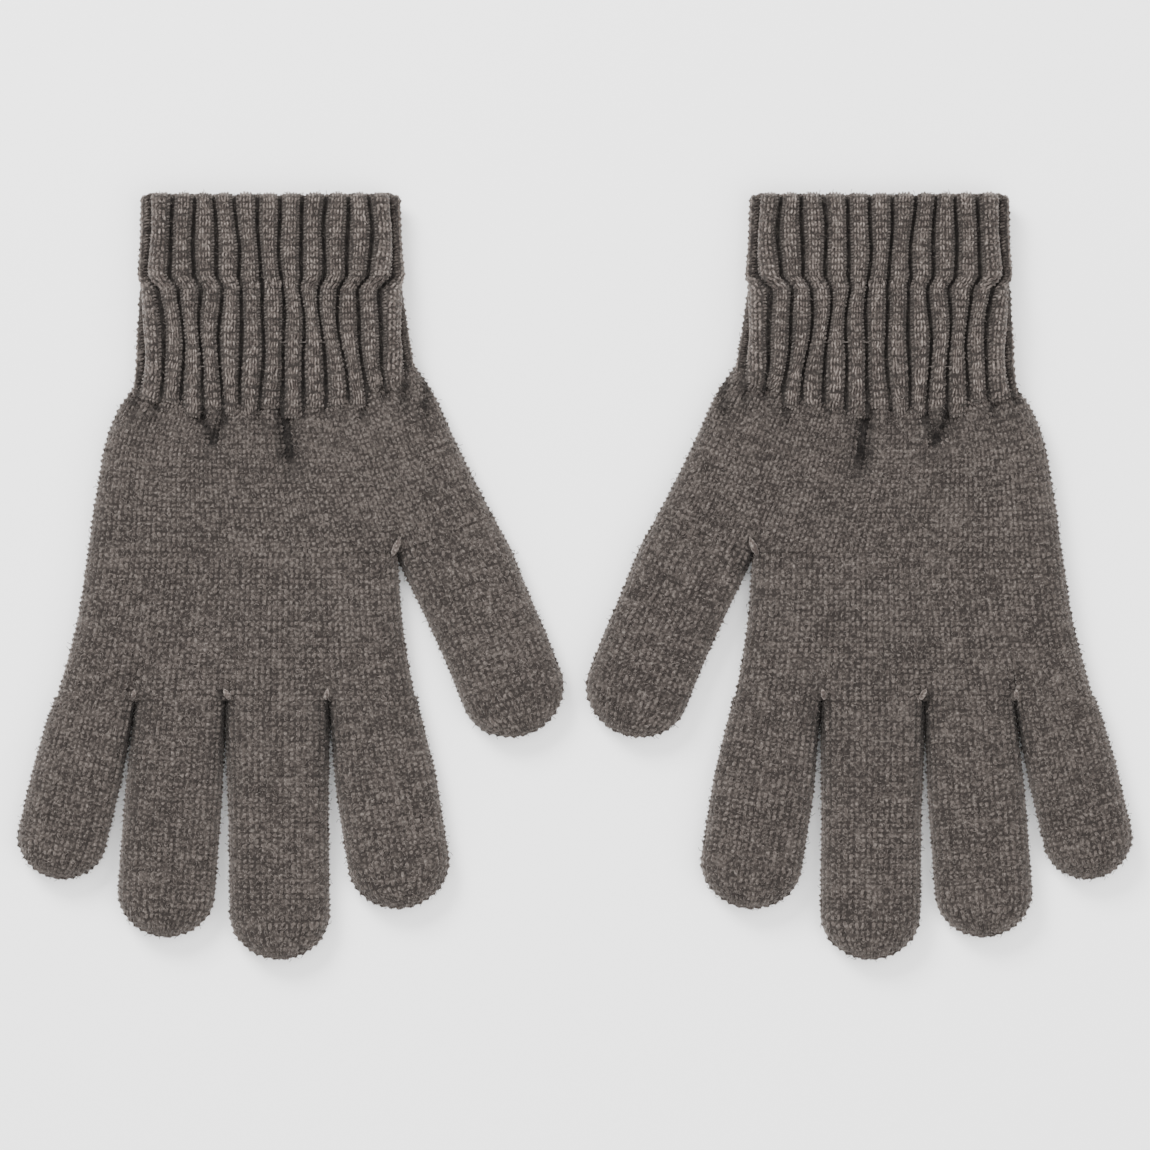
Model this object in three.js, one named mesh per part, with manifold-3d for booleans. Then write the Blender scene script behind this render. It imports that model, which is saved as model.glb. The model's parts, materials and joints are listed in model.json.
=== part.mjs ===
// A pair of knitted five-finger gloves lying flat, palms up, fingers towards -Y.
// Millimetres, +Z up. The origin is under the middle of the pair, on the surface it lies on.
import * as THREE from "three";
import { mergeVertices } from "three/addons/utils/BufferGeometryUtils.js";
import Module from "manifold-3d";

const wasm = await Module();
wasm.setup();

// ---- Fabric ----
const knitWall = 1.6; // one ply of knit
const gloveThickness = 10; // hand and fingers, lying flat with a little air in them
const edgeRound = 5; // how far the folded edge rounds in from the silhouette
const jointGap = 0.3; // between stretches of tube that bend on each other, and between plies
const yarnColour = 0x5f5853;
const darkYarnColour = 0x4a4440;
const elasticColour = 0x8d867c;

// ---- Cuff, heights measured from the wrist line ----
const cuffLength = 46.8;
const cuffTopWidth = 62.5;
const cuffBaseWidth = 65;
const cuffFlareHeight = 9; // where the cuff starts to widen into the hand
const cuffThickness = 13;
const facingWall = 1.3; // the turned-in ply
const facingLength = 22;
const threadSize = 0.5; // elastic and tacking thread
const tackingRise = 0.5; // the tacking thread's middle, above the facing's hem
const elasticHeights = [10.6, 4.8]; // laid into the single-ply stretch

// ---- Hand, in a frame at the middle of the wrist line; +X is the little-finger side ----
const wristThumbSide = 38.5;
const wristLittleSide = 32.6;
const palmLength = 74.9; // wrist line to knuckle line
const knuckleThumbSide = 35; // from the frame to the index finger's outer edge
const heelSide = 39.6; // out to the heel of the hand, little-finger side
const heelDrop = 14;
const palmSide = 46; // out to the same edge, further down
const palmSideDrop = 50;
const thumbFork = { x: -30.5, drop: 39.6 };

// ---- Fingers: chord along the knuckle line, width near the tip, length, lean in degrees, mid bend ----
const fingers = [
  { name: "index", chord: 21.1, tipWidth: 24.6, length: 50.3, lean: -9, bendDrop: 25 },
  { name: "middle", chord: 24.7, tipWidth: 23.5, length: 61.7, lean: -0.7, bendDrop: 30 },
  { name: "ring", chord: 21.4, tipWidth: 23.8, length: 56.6, lean: 4.3, bendDrop: 27 },
  { name: "little", chord: 19.6, tipWidth: 21.2, length: 43.5, lean: 13.5, bendDrop: 21 },
];
const thumb = { name: "thumb", width: 25.7, tipWidth: 25.4, length: 52, lean: -21.5, bendDrop: 25 };
const fingerGap = 1.2; // between neighbouring finger tubes at the knuckle line
const stubLength = 8.5; // knuckle line to the line that the fingers bend on
const tipRoundness = 0.87; // the tip is a half-ellipse this many half-widths long

// ---- Fork stitches, one closing the hole at each fork ----
const forkStitchSize = new THREE.Vector3(1.7, 3.2, 1.4);
const forkStitchInset = 1.7; // from the fork to the stitch's middle
const thumbForkStitchTurn = -0.4;

// ---- The pair ----
const gloveOffset = 72.8; // from the pair's middle to the middle of each cuff

// ---- Working allowances ----
const overrun = 9; // how far a blank passes the plane that trims it
const sideLand = 0.8; // upright strip left at the middle of a rounded edge
const roundSteps = 2;
const curveSteps = 5;
const beadSteps = { around: 8, along: 6 };
const weldDistance = 1e-4; // corners closer than this are one corner
const beyond = 300; // larger than the whole pair

const knit = new THREE.MeshStandardMaterial({ color: yarnColour, roughness: 0.95, metalness: 0 });
const darkKnit = new THREE.MeshStandardMaterial({ color: darkYarnColour, roughness: 0.95, metalness: 0 });
const elastic = new THREE.MeshStandardMaterial({ color: elasticColour, roughness: 0.6, metalness: 0 });

// ---- Solids ----
function toSolid(geometry) {
  const bare = geometry.index ? geometry.toNonIndexed() : geometry.clone();
  bare.deleteAttribute("normal");
  bare.deleteAttribute("uv");
  const merged = mergeVertices(bare, weldDistance);
  return new wasm.Manifold(
    new wasm.Mesh({
      numProp: 3,
      vertProperties: merged.attributes.position.array,
      triVerts: new Uint32Array(merged.index.array),
    }),
  );
}

// A solid as a named mesh; mirror -1 turns a right-hand piece into its left-hand twin.
function toMesh(name, solid, material, mirror) {
  const made = solid.getMesh();
  const geometry = new THREE.BufferGeometry();
  geometry.setAttribute("position", new THREE.BufferAttribute(made.vertProperties, 3));
  const order = mirror < 0 ? made.triVerts.toReversed() : made.triVerts;
  geometry.setIndex(new THREE.BufferAttribute(order, 1));
  geometry.scale(mirror, 1, 1);
  geometry.computeVertexNormals();
  const mesh = new THREE.Mesh(geometry, material);
  mesh.name = name;
  return mesh;
}

function polygon(points) {
  return new THREE.Shape(points.map(([x, y]) => new THREE.Vector2(x, y)));
}

// A flat cushion of the outline's shape with rounded edges, taken in by inset all round.
function pillow(outline, thickness, inset, place = new THREE.Matrix4()) {
  const round = Math.min(edgeRound, thickness / 2) - inset / 2;
  const rise = (thickness - sideLand) / 2 - inset;
  const geometry = new THREE.ExtrudeGeometry(outline, {
    depth: sideLand,
    bevelThickness: rise,
    bevelSize: round,
    bevelOffset: -round - inset,
    bevelSegments: roundSteps,
    curveSegments: curveSteps,
  });
  geometry.translate(0, 0, rise + inset);
  geometry.applyMatrix4(place);
  return toSolid(geometry);
}

// The same cushion as a tube of fabric: hollow, its outside taken in by inset.
function knitTube(outline, thickness, inset, wall) {
  return pillow(outline, thickness, inset).subtract(pillow(outline, thickness, inset + wall));
}

// Everything on one side, +1 or -1, of the upright plane through (x, y) that runs at the angle turn.
function halfSpace(x, y, turn, side) {
  const block = new THREE.BoxGeometry(beyond, beyond, beyond);
  block.translate(0, (side * beyond) / 2, 0);
  block.rotateZ(turn);
  block.translate(x, y, 0);
  return toSolid(block);
}

// ---- Cuff pieces ----
function cuffEdge(height) {
  const share = (height - cuffFlareHeight) / (cuffLength - cuffFlareHeight);
  return THREE.MathUtils.lerp(cuffBaseWidth, cuffTopWidth, share) / 2;
}

function cuffOutline() {
  const top = cuffLength + overrun;
  const flare = overrun / 2;
  return polygon([
    [-cuffEdge(top), top],
    [-cuffEdge(cuffFlareHeight), cuffFlareHeight],
    [-wristThumbSide, 0],
    [-wristThumbSide - flare, -overrun],
    [wristLittleSide + flare, -overrun],
    [wristLittleSide, 0],
    [cuffEdge(cuffFlareHeight), cuffFlareHeight],
    [cuffEdge(top), top],
  ]);
}

// The stretch of a cuff tube between two heights.
function cuffStretch(inset, wall, low, high) {
  return knitTube(cuffOutline(), cuffThickness, inset, wall)
    .subtract(halfSpace(0, low, 0, -1))
    .subtract(halfSpace(0, high, 0, 1));
}

// A closed loop of thread against the inside of the rib.
function threadLoop(height) {
  return cuffStretch(knitWall + jointGap, threadSize, height - threadSize / 2, height + threadSize / 2);
}

// ---- Hand ----
const littleEdge = fingers.reduce((sum, finger) => sum + finger.chord, -knuckleThumbSide);

function palmOutline() {
  return polygon([
    [thumbFork.x, overrun],
    [thumbFork.x, -thumbFork.drop],
    [-knuckleThumbSide, -palmLength],
    [littleEdge, -palmLength],
    [palmSide, -palmSideDrop],
    [heelSide, -heelDrop],
    [wristLittleSide, 0],
    [wristLittleSide, overrun],
  ]);
}

// Where the thumb's frame sits: at the middle of its root, level with the fork.
function thumbRoot() {
  const lean = THREE.MathUtils.degToRad(thumb.lean);
  const half = (thumb.width + fingerGap) / 2;
  return new THREE.Vector2(thumbFork.x - Math.cos(lean) * half, -thumbFork.drop - Math.sin(lean) * half);
}

// The swell of the hand between the wrist and the thumb's root.
function gussetOutline() {
  const lean = THREE.MathUtils.degToRad(thumb.lean);
  const root = thumbRoot();
  const outerX = root.x - (Math.cos(lean) * thumb.width) / 2;
  const outerY = root.y - (Math.sin(lean) * thumb.width) / 2;
  return polygon([
    [-wristThumbSide, overrun],
    [-wristThumbSide, 0],
    [outerX, outerY],
    [root.x, root.y],
    [thumbFork.x, -thumbFork.drop],
    [0, -thumbFork.drop],
    [0, overrun],
  ]);
}

// ---- Fingers, each in a frame at the middle of its root, running towards -Y ----
function fingerPlaces() {
  let edge = -knuckleThumbSide;
  const places = fingers.map((finger) => {
    const lean = THREE.MathUtils.degToRad(finger.lean);
    const place = { x: edge + finger.chord / 2, y: -palmLength, lean, cutTurn: -lean };
    edge += finger.chord;
    return { ...finger, ...place, baseWidth: (finger.chord - fingerGap) * Math.cos(lean) };
  });
  const root = thumbRoot();
  const lean = THREE.MathUtils.degToRad(thumb.lean);
  places.push({ ...thumb, x: root.x, y: root.y, lean, cutTurn: 0, baseWidth: thumb.width });
  return places;
}

function fingerOutline(finger) {
  const tipHalf = finger.tipWidth / 2;
  const baseHalf = finger.baseWidth / 2;
  const tipLength = tipHalf * tipRoundness;
  const taper = ((tipHalf - baseHalf) / (finger.length - tipLength)) * overrun;
  const shape = new THREE.Shape();
  shape.moveTo(baseHalf - taper, overrun);
  shape.lineTo(taper - baseHalf, overrun);
  shape.lineTo(-tipHalf, tipLength - finger.length);
  shape.absellipse(0, tipLength - finger.length, tipHalf, tipLength, Math.PI, 2 * Math.PI, false, 0);
  return shape;
}

function fingerMatrix(finger) {
  return new THREE.Matrix4().makeTranslation(finger.x, finger.y, 0).multiply(
    new THREE.Matrix4().makeRotationZ(finger.lean),
  );
}

// One side of the plane a finger bends on, drop millimetres past its root.
function bendSide(finger, drop, side) {
  const middle = -drop / Math.cos(finger.cutTurn);
  return halfSpace(0, middle + (side * jointGap) / 2, finger.cutTurn, side);
}

function fingerStretches(finger) {
  const tube = knitTube(fingerOutline(finger), gloveThickness, 0, knitWall);
  const root = tube
    .intersect(bendSide(finger, stubLength, -1))
    .intersect(bendSide(finger, finger.bendDrop, 1));
  const tip = tube.intersect(bendSide(finger, finger.bendDrop, -1));
  return { root, tip };
}

function handFill(inset) {
  const blanks = fingerPlaces().map((finger) =>
    pillow(fingerOutline(finger), gloveThickness, inset, fingerMatrix(finger)),
  );
  const palm = pillow(palmOutline(), gloveThickness, inset);
  const gusset = pillow(gussetOutline(), gloveThickness, inset);
  return blanks.reduce((sum, blank) => sum.add(blank), palm.add(gusset));
}

// Everything past the line that the thumb bends on, as wide as the thumb.
function pastThumbBend() {
  const block = new THREE.BoxGeometry(thumb.width + fingerGap, beyond, beyond);
  block.translate(0, -beyond / 2 - stubLength + jointGap / 2, 0);
  block.rotateZ(THREE.MathUtils.degToRad(thumb.lean));
  const root = thumbRoot();
  block.translate(root.x, root.y, 0);
  return toSolid(block);
}

function handShell() {
  return handFill(0)
    .subtract(handFill(knitWall))
    .subtract(halfSpace(0, -jointGap / 2, 0, 1))
    .subtract(halfSpace(0, -palmLength - stubLength + jointGap / 2, 0, -1))
    .subtract(pastThumbBend());
}

function forkStitch(x, y, turn) {
  const bead = new THREE.SphereGeometry(0.5, beadSteps.around, beadSteps.along);
  bead.scale(forkStitchSize.x, forkStitchSize.y, forkStitchSize.z);
  bead.rotateZ(turn);
  bead.translate(x, y, gloveThickness + jointGap + forkStitchSize.z / 2);
  return toSolid(bead);
}

// ---- One glove, its frame at the middle of the wrist line; mirror 1 has the thumb towards -X ----
function makeGlove(side, mirror) {
  const glove = new THREE.Group();
  const add = (name, solid, material, holder = glove) =>
    holder.add(toMesh(side + "_" + name, solid, material, mirror));

  add("cuff_rib", cuffStretch(0, knitWall, jointGap / 2, cuffLength), knit);
  const facingInset = knitWall + jointGap + threadSize + jointGap;
  const facingHem = cuffLength - facingLength;
  add("cuff_facing", cuffStretch(facingInset, facingWall, facingHem, cuffLength - jointGap), darkKnit);
  add("cuff_tacking_thread", threadLoop(facingHem + tackingRise), darkKnit);
  elasticHeights.forEach((height, i) => add("elastic_thread_" + (i + 1), threadLoop(height), elastic));
  add("hand_shell", handShell(), knit);

  for (const finger of fingerPlaces()) {
    const holder = new THREE.Group();
    holder.position.set(finger.x * mirror, finger.y, 0);
    holder.rotation.z = finger.lean * mirror;
    const { root, tip } = fingerStretches(finger);
    add(finger.name + "_root", root, knit, holder);
    add(finger.name + "_tip", tip, knit, holder);
    glove.add(holder);
  }

  let fork = -knuckleThumbSide;
  for (let i = 0; i < fingers.length - 1; i++) {
    fork += fingers[i].chord;
    const stitch = forkStitch(fork, -palmLength + forkStitchInset, 0);
    add("fork_stitch_" + fingers[i].name + "_" + fingers[i + 1].name, stitch, knit);
  }
  const thumbStitch = forkStitch(thumbFork.x, -thumbFork.drop + forkStitchInset, thumbForkStitchTurn);
  add("fork_stitch_thumb", thumbStitch, knit);
  return glove;
}

const reaches = fingers.map((finger) => finger.length * Math.cos(THREE.MathUtils.degToRad(finger.lean)));
const longest = Math.max(...reaches);
const wristY = (palmLength + longest - cuffLength) / 2; // centres the gloves' length on the origin
const pair = new THREE.Group();
for (const [side, mirror] of [["left", -1], ["right", 1]]) {
  const glove = makeGlove(side, mirror);
  glove.position.set(gloveOffset * mirror, wristY, 0);
  pair.add(glove);
}

export default pair;
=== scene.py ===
import json
import math

import bpy
import numpy as np
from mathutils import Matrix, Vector


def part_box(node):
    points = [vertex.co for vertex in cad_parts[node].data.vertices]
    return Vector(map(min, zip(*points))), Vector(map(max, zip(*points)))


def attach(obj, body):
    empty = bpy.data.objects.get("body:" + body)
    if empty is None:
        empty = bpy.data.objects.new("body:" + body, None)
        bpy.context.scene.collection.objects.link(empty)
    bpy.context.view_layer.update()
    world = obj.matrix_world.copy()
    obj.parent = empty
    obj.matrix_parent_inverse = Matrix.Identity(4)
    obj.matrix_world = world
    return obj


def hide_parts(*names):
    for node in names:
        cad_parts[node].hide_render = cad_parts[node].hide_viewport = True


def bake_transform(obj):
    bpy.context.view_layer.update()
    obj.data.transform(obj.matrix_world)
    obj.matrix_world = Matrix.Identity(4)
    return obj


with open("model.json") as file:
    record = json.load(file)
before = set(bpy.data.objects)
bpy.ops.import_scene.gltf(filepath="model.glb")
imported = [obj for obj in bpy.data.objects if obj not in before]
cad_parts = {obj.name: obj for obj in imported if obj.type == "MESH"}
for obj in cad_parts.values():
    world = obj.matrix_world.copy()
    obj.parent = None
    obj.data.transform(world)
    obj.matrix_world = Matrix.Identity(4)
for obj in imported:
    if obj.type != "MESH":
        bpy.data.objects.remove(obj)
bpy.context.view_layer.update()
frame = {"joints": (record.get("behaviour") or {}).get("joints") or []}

millimetre = 0.001  # in metres
joints = {joint["name"]: joint for joint in frame["joints"]}

# Sizes below are in millimetres, in a glove's own frame: x towards the little finger, y towards the cuff,
# from the middle of the wrist line. side is +1 for the right glove and -1 for the left.
gloves = {"left": -1, "right": 1}

yarn = {
    "darkColour": (0.028, 0.0215, 0.019, 1),
    "midColour": (0.110, 0.091, 0.081, 1),
    "lightColour": (0.240, 0.212, 0.190, 1),
    "roughness": 0.92,
    "sheen": 0.28,
    "sheenTint": (1.0, 0.90, 0.83, 1),
    "fuzzDensity": 420000,
    "fuzzLength": 0.0010,
    "thickness": 0.25,
    "unevenness": 0.24,
    # painted shade: how much the rib flanks and the bare gaps between ribs are darkened
    "flankPaintedShade": -0.42,
    "gapPaintedShade": -0.62,
}


def smooth(value):
    value = np.clip(value, 0, 1)
    return value * value * (3 - 2 * value)


# A curve through a few knots (t, value), rounded by finite-difference tangents.
def throughKnots(knots, t):
    at = np.array([knot[0] for knot in knots], float)
    value = np.array([knot[1] for knot in knots], float)
    slope = np.gradient(value, at)
    t = np.clip(t, at[0], at[-1])
    k = np.clip(np.searchsorted(at, t, side="right") - 1, 0, len(at) - 2)
    step = at[k + 1] - at[k]
    f = (t - at[k]) / step
    a = value[k] * (1 + 2 * f) * (1 - f) ** 2 + slope[k] * step * f * (1 - f) ** 2
    b = value[k + 1] * f * f * (3 - 2 * f) + slope[k + 1] * step * f * f * (f - 1)
    return a + b


# Gentle unevenness of a soft fabric, from -1 to 1.
def ripple(x, y, seed):
    a = np.sin(x * 0.21 + y * 0.13 + seed * 1.7)
    b = np.sin(x * -0.11 + y * 0.29 + seed * 2.9)
    c = np.sin(x * 0.47 - y * 0.38 + seed * 4.1)
    return (a + b + 0.6 * c) / 2.6


def softness(glove, x, y):
    return 0.3 * ripple(x, y, glove["side"] + 2)


# Across and height of points spaced evenly round a flattened tube, from its +x edge over the top.
def section(shares, halfWidth, halfHeight, edge):
    edge = min(edge, halfWidth)
    quarter = math.pi / 2 * math.sqrt((edge * edge + halfHeight * halfHeight) / 2)
    flat = 2 * (halfWidth - edge)
    total = 2 * quarter + flat
    share = shares % 1
    under = share >= 0.5
    s = np.where(under, 1 - share, share) * 2 * total
    angle = np.where(s < quarter, s / quarter, (total - s) / quarter) * math.pi / 2
    angle = np.clip(angle, 0, math.pi / 2)
    x = halfWidth - edge - (s - quarter)
    x = np.where(s < quarter, halfWidth - edge + edge * np.cos(angle), x)
    x = np.where(s > quarter + flat, -(halfWidth - edge) - edge * np.cos(angle), x)
    height = halfHeight * np.sin(angle)
    return x, np.where(under, -height, height)


# Shader groups and materials.
def newGroup(name, sockets):
    tree = bpy.data.node_groups.new(name, "ShaderNodeTree")
    for label, direction, kind in sockets:
        tree.interface.new_socket(label, in_out=direction, socket_type=kind)
    return tree, tree.nodes.new("NodeGroupInput"), tree.nodes.new("NodeGroupOutput")


def shaderMath(tree, operation, a, b, clamp=False):
    node = tree.nodes.new("ShaderNodeMath")
    node.operation = operation
    node.use_clamp = clamp
    for socket, value in zip(node.inputs, (a, b)):
        if isinstance(value, (int, float)):
            socket.default_value = value
        else:
            tree.links.new(value, socket)
    return node.outputs[0]


def shaderNoise(tree, vector, scale, detail, stretch=(1, 1, 1)):
    mapping = tree.nodes.new("ShaderNodeMapping")
    mapping.inputs["Scale"].default_value = stretch
    tree.links.new(vector, mapping.inputs["Vector"])
    node = tree.nodes.new("ShaderNodeTexNoise")
    node.inputs["Scale"].default_value = scale
    node.inputs["Detail"].default_value = detail
    tree.links.new(mapping.outputs[0], node.inputs["Vector"])
    return node.outputs["Fac"]


# Marled yarn: dark and light fibre in streaks along the courses, with pale flecks and a little fine hair.
def makeMelange():
    tree, inputs, outputs = newGroup("marled yarn", [
        ("Dark", "INPUT", "NodeSocketColor"),
        ("Mid", "INPUT", "NodeSocketColor"),
        ("Light", "INPUT", "NodeSocketColor"),
        ("Color", "OUTPUT", "NodeSocketColor"),
        ("Normal", "OUTPUT", "NodeSocketVector"),
        ("Painted shade factor", "OUTPUT", "NodeSocketFloat"),
    ])
    place = tree.nodes.new("ShaderNodeTexCoord").outputs["Object"]
    course = tree.nodes.new("ShaderNodeAttribute")
    course.attribute_name = "course"
    streak = shaderNoise(tree, course.outputs["Vector"], 1.0, 3.0, (0.30, 1.35, 1.0))
    blotch = shaderNoise(tree, place, 130.0, 2.0)
    stitch = shaderNoise(tree, place, 620.0, 2.0)
    fleck = shaderNoise(tree, place, 1500.0, 2.0)
    stitchTone = tree.nodes.new("ShaderNodeAttribute")
    stitchTone.attribute_name = "tone"
    tone = shaderMath(tree, "ADD", shaderMath(tree, "MULTIPLY", streak, 1.5), -0.75)
    for part, weight in ((blotch, 0.8), (stitch, 1.8), (stitchTone.outputs["Fac"], 0.5), (fleck, 1.6)):
        tone = shaderMath(tree, "ADD", tone, shaderMath(tree, "MULTIPLY", part, weight))
    tone = shaderMath(tree, "ADD", tone, -1.85)
    ramp = tree.nodes.new("ShaderNodeMix")
    ramp.data_type = "RGBA"
    tree.links.new(shaderMath(tree, "MULTIPLY", tone, 1.0, True), ramp.inputs["Factor"])
    tree.links.new(inputs.outputs["Dark"], ramp.inputs[6])
    tree.links.new(inputs.outputs["Mid"], ramp.inputs[7])
    pale = tree.nodes.new("ShaderNodeMix")
    pale.data_type = "RGBA"
    amount = shaderMath(tree, "MULTIPLY", shaderMath(tree, "SUBTRACT", fleck, 0.53), 5.0, True)
    amount = shaderMath(tree, "MULTIPLY", amount, shaderMath(tree, "MULTIPLY", stitch, 1.1), True)
    tree.links.new(amount, pale.inputs["Factor"])
    tree.links.new(ramp.outputs[2], pale.inputs[6])
    tree.links.new(inputs.outputs["Light"], pale.inputs[7])
    # Painted shade: the colour is scaled down by the stitch's shade attribute, and the same factor goes out
    # to dim the sheen.
    shade = tree.nodes.new("ShaderNodeAttribute")
    shade.attribute_name = "shade"
    lit = tree.nodes.new("ShaderNodeVectorMath")
    lit.operation = "SCALE"
    tree.links.new(pale.outputs[2], lit.inputs[0])
    paintedShadeFactor = shaderMath(tree, "ADD", shade.outputs["Fac"], 1.0, True)
    tree.links.new(paintedShadeFactor, lit.inputs["Scale"])
    tree.links.new(paintedShadeFactor, outputs.inputs["Painted shade factor"])
    tree.links.new(lit.outputs[0], outputs.inputs["Color"])
    bump = tree.nodes.new("ShaderNodeBump")
    bump.inputs["Strength"].default_value = 0.55
    bump.inputs["Distance"].default_value = 0.00035
    tree.links.new(shaderNoise(tree, place, 2400.0, 3.0), bump.inputs["Height"])
    tree.links.new(bump.outputs[0], outputs.inputs["Normal"])
    return tree


melange = makeMelange()


def knitMaterial(name, shade):
    material = bpy.data.materials.new(name)
    material.use_nodes = True
    tree = material.node_tree
    shader = tree.nodes["Principled BSDF"]
    group = tree.nodes.new("ShaderNodeGroup")
    group.node_tree = melange
    for label in ("Dark", "Mid", "Light"):
        colour = yarn[label.lower() + "Colour"]
        group.inputs[label].default_value = tuple(c * shade for c in colour[:3]) + (1,)
    tree.links.new(group.outputs["Color"], shader.inputs["Base Color"])
    tree.links.new(group.outputs["Normal"], shader.inputs["Normal"])
    shader.inputs["Roughness"].default_value = yarn["roughness"]
    shader.inputs["Specular IOR Level"].default_value = 0.2
    # Painted shade dims the sheen too, by the same factor as the colour.
    sheen = shaderMath(tree, "MULTIPLY", group.outputs["Painted shade factor"], yarn["sheen"])
    tree.links.new(sheen, shader.inputs["Sheen Weight"])
    shader.inputs["Sheen Tint"].default_value = yarn["sheenTint"]
    shader.inputs["Sheen Roughness"].default_value = 0.5
    return material


def plainMaterial(name, colour, roughness):
    material = bpy.data.materials.new(name)
    material.use_nodes = True
    shader = material.node_tree.nodes["Principled BSDF"]
    shader.inputs["Base Color"].default_value = colour
    shader.inputs["Roughness"].default_value = roughness
    return material


knitYarn = knitMaterial("grey brown yarn", 0.61)
ribYarn = knitMaterial("grey brown yarn of the ribs", 1.0)
# The yarn seen behind the stitches, kept darker than the stitches as painted shade between them.
shadedGround = knitMaterial("yarn behind the stitches in painted shade", 0.42)
facingYarn = knitMaterial("facing yarn", 0.8)
sewingYarn = knitMaterial("sewing yarn", 1.15)
fuzzYarn = knitMaterial("loose fibre", 0.95)
elasticYarn = plainMaterial("covered elastic", (0.10, 0.087, 0.078, 1), 0.6)


# The geometry tree that knits a surface.
# Every face of the surface is one stitch. Its attributes give the wale direction, the face's outward
# direction, the stitch's width, length and height, its kind and how deep it lies in shadow.
def makeKnitTree():
    tree = bpy.data.node_groups.new("knit stitches", "GeometryNodeTree")
    for label, kind in [
        ("Geometry", "NodeSocketGeometry"),
        ("Yarn thickness", "NodeSocketFloat"),
        ("Unevenness", "NodeSocketFloat"),
        ("Fuzz density", "NodeSocketFloat"),
        ("Fuzz length", "NodeSocketFloat"),
        ("Seed", "NodeSocketInt"),
        ("Yarn", "NodeSocketMaterial"),
        ("Ground", "NodeSocketMaterial"),
        ("Fuzz", "NodeSocketMaterial"),
    ]:
        tree.interface.new_socket(label, in_out="INPUT", socket_type=kind)
    tree.interface.new_socket("Geometry", in_out="OUTPUT", socket_type="NodeSocketGeometry")
    inputs = tree.nodes.new("NodeGroupInput")
    outputs = tree.nodes.new("NodeGroupOutput")

    def node(kind, links=(), values=(), **settings):
        made = tree.nodes.new(kind)
        for key, value in settings.items():
            setattr(made, key, value)
        for key, value in values:
            made.inputs[key].default_value = value
        for key, source in links:
            tree.links.new(source, made.inputs[key])
        return made

    def attribute(name, kind):
        return node("GeometryNodeInputNamedAttribute", values=[("Name", name)], data_type=kind).outputs[0]

    def maths(operation, a, b):
        made = node("ShaderNodeMath", operation=operation)
        for socket, value in zip(made.inputs, (a, b)):
            if isinstance(value, (int, float)):
                socket.default_value = value
            else:
                tree.links.new(value, socket)
        return made.outputs[0]

    def randomValue(low, high, seedShift):
        made = node("FunctionNodeRandomValue", data_type="FLOAT")
        made.inputs[2].default_value = low
        made.inputs[3].default_value = high
        tree.links.new(maths("ADD", inputs.outputs["Seed"], seedShift), made.inputs["Seed"])
        return made.outputs[1]

    profile = node("GeometryNodeCurvePrimitiveCircle", values=[("Resolution", 5), ("Radius", 1.0)])

    # One strand of yarn along a curve of four points, thinner where it dives behind its neighbour.
    def strand(start, startHandle, endHandle, end, fatness):
        curve = node("GeometryNodeCurvePrimitiveBezierSegment", values=[
            ("Resolution", 2), ("Start", start), ("Start Handle", startHandle),
            ("End Handle", endHandle), ("End", end),
        ])
        factor = node("GeometryNodeSplineParameter").outputs["Factor"]
        middle = maths("MULTIPLY", factor, maths("SUBTRACT", 1.0, factor))
        swell = maths("ADD", 0.55, maths("MULTIPLY", middle, 1.9))
        radius = maths("MULTIPLY", maths("MULTIPLY", inputs.outputs["Yarn thickness"], fatness), swell)
        sized = node("GeometryNodeSetCurveRadius", links=[("Curve", curve.outputs[0]), ("Radius", radius)])
        return node("GeometryNodeCurveToMesh", values=[("Fill Caps", True)], links=[
            ("Curve", sized.outputs[0]), ("Profile Curve", profile.outputs[0]), ("Scale", radius),
        ])

    def together(pieces):
        join = node("GeometryNodeJoinGeometry")
        for piece in reversed(pieces):
            tree.links.new(piece, join.inputs[0])
        return join.outputs[0]

    # A plain stitch is a V of two legs. A rib's flank shows two short strands that lean across it.
    plain = together([
        strand((leg * 0.15, -0.54, -0.24), (leg * 0.20, -0.30, 0.22),
               (leg * 0.31, 0.24, 0.22), (leg * 0.27, 0.54, -0.24), 1.0).outputs[0]
        for leg in (-1, 1)
    ])
    flank = together([
        strand((-0.3, at - 0.2, -0.2), (-0.1, at - 0.05, 0.2),
               (0.1, at, 0.2), (0.32, at + 0.12, -0.2), 1.1).outputs[0]
        for at in (-0.24, 0.26)
    ])

    points = node("GeometryNodeMeshToPoints", links=[("Mesh", inputs.outputs["Geometry"])], mode="FACES")
    tone = maths("POWER", randomValue(0.0, 1.0, 5), 1.7)
    toned = node("GeometryNodeStoreNamedAttribute", data_type="FLOAT", domain="POINT", links=[
        ("Geometry", points.outputs[0]), ("Value", tone),
    ], values=[("Name", "tone")])
    turn = node("FunctionNodeAxesToRotation", primary_axis="Z", secondary_axis="Y", links=[
        ("Primary Axis", attribute("outward", "FLOAT_VECTOR")),
        ("Secondary Axis", attribute("wale", "FLOAT_VECTOR")),
    ])
    wobble = node("ShaderNodeCombineXYZ")
    for k in range(3):
        amount = maths("MULTIPLY", randomValue(-1.0, 1.0, k), inputs.outputs["Unevenness"])
        tree.links.new(amount, wobble.inputs[k])
    wobbled = node("FunctionNodeRotateRotation", rotation_space="LOCAL", links=[
        ("Rotation", turn.outputs[0]), ("Rotate By", wobble.outputs[0]),
    ])
    grow = randomValue(0.82, 1.24, 7)
    scale = node("ShaderNodeVectorMath", operation="SCALE", links=[
        ("Vector", attribute("stitch", "FLOAT_VECTOR")), ("Scale", grow),
    ])

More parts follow.
